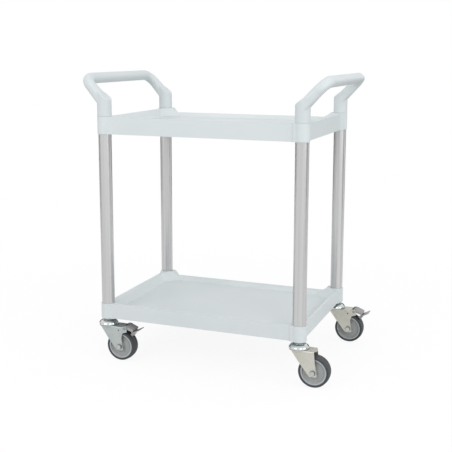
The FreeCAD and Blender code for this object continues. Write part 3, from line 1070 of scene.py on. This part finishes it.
@dataclass
class SwivelHead:
    """The drawn cup over the caster's ball race, whose outline starts from its lip's height."""

    lip: float = 106.5
    shaded_from: float = 50.0
    outline: Outline = (
        (14.0, 18.0), (16.4, 18.0), (16.9, 17.8), (17.0, 17.3), (16.6, 16.4), (16.1, 15.2),
        (16.6, 13.9), (18.2, 12.7), (20.4, 11.9), (22.0, 11.3), (23.6, 10.3), (25.4, 8.8),
        (27.0, 7.3), (28.2, 5.7), (28.8, 4.2), (29.0, 2.6), (29.0, 0.9), (28.8, 0.3), (28.3, 0.0),
        (27.6, 0.0), (27.2, 0.4), (27.1, 3.6), (26.0, 5.8), (23.0, 8.0), (18.0, 10.0), (14.0, 11.0),
        (14.0, 18.0),
    )

    def build(self, places: Mapping[Corner, Vector], finish: Material) -> None:
        """Turn one cup and set a copy over each caster.

        Args:
            places: Each post's axis at the floor.
            finish: The bright plating.
        """
        outline = tuple((radius, self.lip + above) for radius, above in self.outline)
        pattern = Workpiece.turned("cup_pattern", Axis.UPRIGHT, outline, self.shaded_from)
        for corner, place in places.items():
            name = "swivel_cup_" + corner.label
            pattern.repeated(name + "_drawn", place).fitted("frame", "bright_zinc", finish, name)
        pattern.cleared()


@dataclass
class Wheel:
    """A caster wheel: a moulded core and the tyre moulded round it."""

    sides: int = 112
    tyre_shaded_from: float = 50.0
    core_shaded_from: float = 40.0
    tyre_side: Outline = (
        (37.5, 15.3), (38.2, 15.5), (38.9, 15.5), (39.2, 15.2), (39.7, 15.2),   # seat and lip
        (40.0, 15.5), (41.2, 15.5), (42.4, 15.35), (43.2, 14.9), (43.7, 14.1),  # side wall
        (43.85, 13.0), (43.75, 11.9), (43.45, 11.1), (43.35, 10.6),             # shoulder groove
        (43.5, 10.1), (43.95, 8.6), (44.4, 6.4), (44.7, 4.2), (44.88, 2.0), (44.93, 0.5),  # tread
    )
    parting_line: Outline = ((45.0, 0.0),)
    core_side: Outline = (
        (6.1, 17.8), (6.7, 18.4), (11.0, 18.4), (11.7, 18.1), (12.0, 17.4),     # bore and hub
        (12.7, 11.9), (13.1, 11.0), (14.0, 10.5), (21.0, 10.0), (27.2, 10.2),   # web
        (27.5, 10.8), (28.3, 10.8), (28.6, 10.2), (30.8, 10.2),                 # raised ring
        (31.6, 10.5), (32.1, 11.3), (32.8, 14.0), (33.3, 14.4), (34.0, 14.5),   # rim
        (36.5, 14.5), (37.2, 14.3), (37.5, 13.7),                               # tyre's seat
    )

    def build(self, axles: Mapping[Corner, Vector]) -> None:
        """Turn one wheel, and set and dress a copy at each caster.

        Args:
            axles: The middle of each axle.
        """
        axis, sides = Axis.ALONG_AXLE, self.sides
        outline = both_sides(self.tyre_side, self.parting_line)
        tyre = Workpiece.turned("tyre_pattern", axis, outline, self.tyre_shaded_from, sides)
        outline = both_sides(self.core_side)
        core = Workpiece.turned("core_pattern", axis, outline, self.core_shaded_from, sides)
        for corner, axle in axles.items():
            label = corner.label
            rubber = TyreRubber("tyre rubber " + label, tuple(axle)).material()
            plastic = WheelPlastic("wheel plastic " + label, tuple(axle)).material()
            for pattern, node, slot, finish in (
                (tyre, "tread_" + label, "tyre", rubber),
                (core, "wheel_core_" + label, "core_plastic", plastic),
            ):
                piece = pattern.repeated(node + "_moulded", axle)
                piece.fitted("wheel_" + label, slot, finish, node)
        tyre.cleared()
        core.cleared()


@dataclass
class AxleBolt:
    """The hexagon bolt through the wheel and the nut on its point, from the wheel's middle."""

    across_flats: float = 13.0
    chamfer: float = 0.9
    edge: Edge = Edge(0.55, rounded_from=50.0)
    shaded_from: float = 38.0
    head: Span = (-22.8, -26.8)
    collar: Outline = (
        (4.0, -21.5), (7.8, -21.5), (8.1, -21.8), (8.0, -22.4), (6.6, -23.0), (4.0, -23.0),
    )
    threaded_shaft: Outline = (
        (4.0, -21.5), (4.0, 27.0), (3.55, 27.5), (4.0, 28.0), (3.55, 28.5),
        (3.5, 29.4), (2.9, 30.0),
    )
    nut: Span = (22.7, 28.0)
    washer: Outline = (
        (4.2, 21.5), (7.8, 21.5), (8.1, 21.8), (8.0, 22.6), (7.6, 22.9), (4.2, 22.9),
    )
    round_sides: int = 48
    shaft_sides: int = 32

    def hexagon(self, name: str, start: float, end: float) -> Workpiece:
        """Model a hexagon whose outer end is chamfered by an inset face.

        Args:
            name: The piece's name.
            start: The end that sits on the collar or washer, along the axle.
            end: The outer end, along the axle.

        Returns:
            The hexagon.
        """
        Workpiece.clear_selection()
        bpy.ops.mesh.primitive_cylinder_add(
            vertices=6,
            radius=self.across_flats / math.sqrt(3.0) * MM,
            depth=abs(end - start) * MM,
            location=(0.0, (start + end) / 2 * MM, 0.0),
            rotation=Axis.ALONG_AXLE.turn,
        )
        piece = Workpiece(bpy.context.active_object)
        piece.thing.name = name
        with piece.editing():
            piece.choose_faces(Axis.ALONG_AXLE.line * math.copysign(1.0, end - start))
            bpy.ops.mesh.inset(thickness=self.chamfer * MM)
        return piece.seated().rounded(self.edge)

    def turned(self, name: str, outline: Outline, sides: int) -> Workpiece:
        """Return a round piece turned about the axle."""
        return Workpiece.turned(name, Axis.ALONG_AXLE, outline, self.shaded_from, sides)

    def bolt(self) -> Workpiece:
        """Model the bolt: its chamfered head, the collar under it and the threaded shaft.

        Returns:
            The bolt, about the origin.
        """
        head = self.hexagon("bolt_pattern", *self.head)
        collar = self.turned("collar", self.collar, self.round_sides)
        shaft = self.turned("shaft", self.threaded_shaft, self.shaft_sides)
        return head.joined(collar, shaft).smoothed(self.shaded_from)

    def nut_on_washer(self) -> Workpiece:
        """Model the chamfered nut and the washer that it is turned down on.

        Returns:
            The nut and washer, about the origin.
        """
        nut = self.hexagon("nut_pattern", *self.nut)
        washer = self.turned("washer", self.washer, self.round_sides)
        return nut.joined(washer).smoothed(self.shaded_from)

    def build(self, axles: Mapping[Corner, Vector]) -> None:
        """Model one bolt and nut, and set and dress a copy at each caster.

        Args:
            axles: The middle of each axle.
        """
        patterns = {"axle_bolt_": self.bolt(), "axle_nut_": self.nut_on_washer()}
        for corner, axle in axles.items():
            steel = BoltSteel("bolt steel " + corner.label, tuple(axle)).material()
            for name, pattern in patterns.items():
                node = name + corner.label
                piece = pattern.repeated(node + "_turned", axle)
                piece.fitted("caster_" + corner.label, "steel", steel, node)
        for pattern in patterns.values():
            pattern.cleared()


@dataclass
class Fork:
    """The pressed fork, with the pin and foot of the swivel in its crown."""

    edge: Edge = Edge(0.45)

    def build(self, corner: Corner, sheet: Material, steel: Material) -> None:
        """Soften the pressed edges and dress the fork and the inner steel.

        Args:
            corner: The caster's corner.
            sheet: The dull plating; the right-hand forks get its copy with painted warm light.
            steel: The turned steel.
        """
        name = "fork_" + corner.label
        piece = Workpiece.copied(name, name + "_pressed").softened(self.edge)
        piece.fitted("caster_" + corner.label, "zinc_sheet", sheet, name)
        dress_node("king_pin_" + corner.label, steel)
        dress_node("axle_bush_" + corner.label, steel)


@dataclass
class Brake:
    """The stamped pedal, its shoe and its pivot pin with peened ends."""

    pedal_edge: Edge = Edge(0.4)
    shoe_edge: Edge = Edge(0.5)
    pin_edge: Edge = Edge(0.7, 4, rounded_from=50.0, shaded_from=45.0, weighted=False)

    def build(self, corner: Corner, stamped: Material, rivet: Material) -> None:
        """Soften and dress the brake of one caster.

        Args:
            corner: The caster's corner.
            stamped: The pedal's plating.
            rivet: The steel of the pin and the shoe.
        """
        for part, suffix, edge, body, slot, finish in (
            ("brake_pedal_", "_stamped", self.pedal_edge, "brake_", "pedal_steel", stamped),
            ("brake_shoe_", "_stamped", self.shoe_edge, "brake_", "pedal_steel", rivet),
            ("brake_pin_", "_peened", self.pin_edge, "caster_", "steel", rivet),
        ):
            node = part + corner.label
            piece = Workpiece.copied(node, node + suffix).softened(edge)
            piece.fitted(body + corner.label, slot, finish, node)


@dataclass
class Casters:
    """The four casters, two of them braked, with their places in millimetres."""

    post_spacing: Span = (597.0, 416.0)
    trail: float = 46.0
    axle_height: float = 45.0
    head: SwivelHead = field(default_factory=SwivelHead)
    wheel: Wheel = field(default_factory=Wheel)
    bolt: AxleBolt = field(default_factory=AxleBolt)
    fork: Fork = field(default_factory=Fork)
    brake: Brake = field(default_factory=Brake)

    def build(self, finishes: Finishes) -> None:
        """Model and dress every caster.

        Args:
            finishes: The trolley's finishes.
        """
        half = Vector((*self.post_spacing, 0.0)) * (MM / 2)
        places = {c: Vector((c.value[0] * half.x, c.value[1] * half.y, 0.0)) for c in Corner}
        set_back = Vector((self.trail, 0.0, self.axle_height)) * MM
        axles = {corner: place + set_back for corner, place in places.items()}
        self.head.build(places, finishes.cup.material())
        self.wheel.build(axles)
        self.bolt.build(axles)
        # The right-hand forks take the copy of the sheet with painted warm light.
        cool, warm = finishes.cool_sheet.material(), finishes.warm_sheet.material()
        steel, rivet = finishes.bolt.material(), finishes.rivet.material()
        stamped = finishes.pedal.material()
        for corner in Corner:
            self.fork.build(corner, cool if corner.left else warm, steel)
            if corner.braked:
                self.brake.build(corner, stamped, rivet)


# The studio


@dataclass(frozen=True)
class SoftBox:
    """One large lamp, aimed at the trolley."""

    name: str
    place: Triple
    size: float
    power: float
    aim: Triple = (0.0, 0.0, 0.40)

    def build(self) -> None:
        """Hang the lamp."""
        data = bpy.data.lights.new(self.name, "AREA")
        data.shape = "SQUARE"
        data.size = self.size
        data.energy = self.power
        lamp = bpy.data.objects.new(self.name, data)
        bpy.context.scene.collection.objects.link(lamp)
        lamp.location = self.place
        way = Vector(self.aim) - Vector(self.place)
        lamp.rotation_euler = way.to_track_quat("-Z", "Y").to_euler()


@dataclass(frozen=True)
class DarkFlag:
    """A dark card that only reflections see, which gives bare metal its darker bands."""

    name: str
    bearing: float
    width: float
    reach: float = 2.6
    height: float = 0.9
    tone: Colour = (0.03, 0.0312, 0.0309)

    def build(self) -> None:
        """Stand the card at its bearing, facing the trolley."""
        turn = math.radians(self.bearing)
        Workpiece.clear_selection()
        bpy.ops.mesh.primitive_plane_add(
            size=1.0,
            location=(self.reach * math.sin(turn), -self.reach * math.cos(turn), self.height / 2),
            rotation=(RIGHT_ANGLE, 0.0, turn),
        )
        card = bpy.context.active_object
        card.name = self.name
        card.scale = (self.width, self.height, 1.0)
        recipe = Recipe.named(self.name)
        card.data.materials.append(recipe.close(recipe.glow(self.tone)))
        card.visible_camera = False
        card.visible_diffuse = False
        card.visible_transmission = False
        card.visible_shadow = False


@dataclass
class Studio:
    """The pale floor, the soft lamps and the camera of the photograph, in metres and radians."""

    camera_place: Triple = (0.94607, -2.43693, 0.92291)
    camera_yaw: float = 0.37052
    camera_pitch: float = -0.16525
    camera_roll: float = 0.00185
    camera_lens: float = 69.248
    camera_sensor: float = 36.0
    camera_shift: float = -0.07
    floor_size: float = 60.0
    floor_colour: Colour = (0.93, 0.935, 0.94)
    floor_bounce: Colour = (0.56, 0.565, 0.57)
    floor_glow: float = 0.90
    floor_specks: Pattern = Pattern(30.0, 2.0)
    speck_share: float = 0.04
    shadow_fade: Span = (0.5, 1.7)
    fill_colour: Colour = (0.98, 0.985, 1.0)
    fill: float = 0.84
    lamps: Tuple[SoftBox, ...] = (
        SoftBox("left front softbox", (-1.3, -3.4, 2.5), 1.5, 38.0),
        SoftBox("right front softbox", (2.4, -2.8, 2.5), 1.5, 26.0),
        SoftBox("side softbox", (3.4, -0.4, 1.6), 1.8, 24.0),
    )
    flags: Tuple[DarkFlag, ...] = (
        DarkFlag("flag behind left", 238.0, 1.5),
        DarkFlag("flag behind right", 165.0, 1.5),
        DarkFlag("flag right", 98.0, 1.0),
        DarkFlag("flag left", -80.0, 0.7),
    )

    def build_camera(self) -> None:
        """Set the camera up at the photograph's place and angle."""
        data = bpy.data.cameras.new("camera")
        data.sensor_width = self.camera_sensor
        data.lens = self.camera_lens
        data.shift_y = self.camera_shift
        camera = bpy.data.objects.new("camera", data)
        bpy.context.scene.collection.objects.link(camera)
        turn = Euler((RIGHT_ANGLE + self.camera_pitch, 0.0, self.camera_yaw)).to_matrix()
        roll = Matrix.Rotation(self.camera_roll, 3, "Z")
        camera.matrix_world = Matrix.Translation(self.camera_place) @ (turn @ roll).to_4x4()
        bpy.context.scene.camera = camera

    def build_world(self) -> None:
        """Light the scene evenly, and show it white to the camera and in reflections."""
        recipe = Recipe(bpy.data.worlds.new("studio"))
        fill, shown = (
            recipe.add("ShaderNodeBackground", {}, {"Color": colour, "Strength": strength})
            for colour, strength in ((self.fill_colour, self.fill), (WHITE, 1.0))
        )
        shades = (shade.outputs["Background"] for shade in (fill, shown))
        bpy.context.scene.world = recipe.close(recipe.mixed(recipe.seen(), *shades))

    def build_floor(self) -> None:
        """Lay the pale floor, which keeps the trolley's shadow and fades to white far off."""
        Workpiece.clear_selection()
        bpy.ops.mesh.primitive_plane_add(size=self.floor_size, location=(0.0, 0.0, 0.0))
        floor = bpy.context.active_object
        floor.name = "studio_floor"
        recipe = Recipe.named("studio floor")
        x, y, _ = recipe.parts(recipe.place)
        far_off = ((x * x + y * y) ** 0.5).ramped(*self.shadow_fade)
        seen = recipe.seen()
        specks = recipe.noise(self.floor_specks) * self.speck_share
        colour = recipe.blend(specks, self.floor_colour, WHITE)
        colour = recipe.blend(seen, self.floor_bounce, colour)
        paint = recipe.add("ShaderNodeBsdfDiffuse", {}, {"Color": colour}).outputs["BSDF"]
        share = self.floor_glow + (1.0 - self.floor_glow) * far_off
        surface = recipe.mixed(seen * share, paint, recipe.glow(WHITE))
        floor.data.materials.append(recipe.close(surface))

    def build(self) -> None:
        """Set up the floor, the world, the lamps and the camera."""
        self.build_floor()
        self.build_world()
        for item in (*self.lamps, *self.flags):
            item.build()
        self.build_camera()
        bpy.context.scene.view_settings.view_transform = "Standard"
        LOG.info("studio: %d lamps and %d flags", len(self.lamps), len(self.flags))


def main() -> None:
    """Dress the trolley and set up the studio."""
    logging.basicConfig(level=logging.INFO, format="%(name)s: %(message)s")
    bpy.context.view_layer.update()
    finishes = Finishes()
    Trays().build(finishes.plastic.material())
    Handles().build(finishes.handle.material())
    Posts().build(finishes.tube.material(), finishes.plug.material())
    Casters().build(finishes)
    Studio().build()


if __name__ == "__main__":
    main()
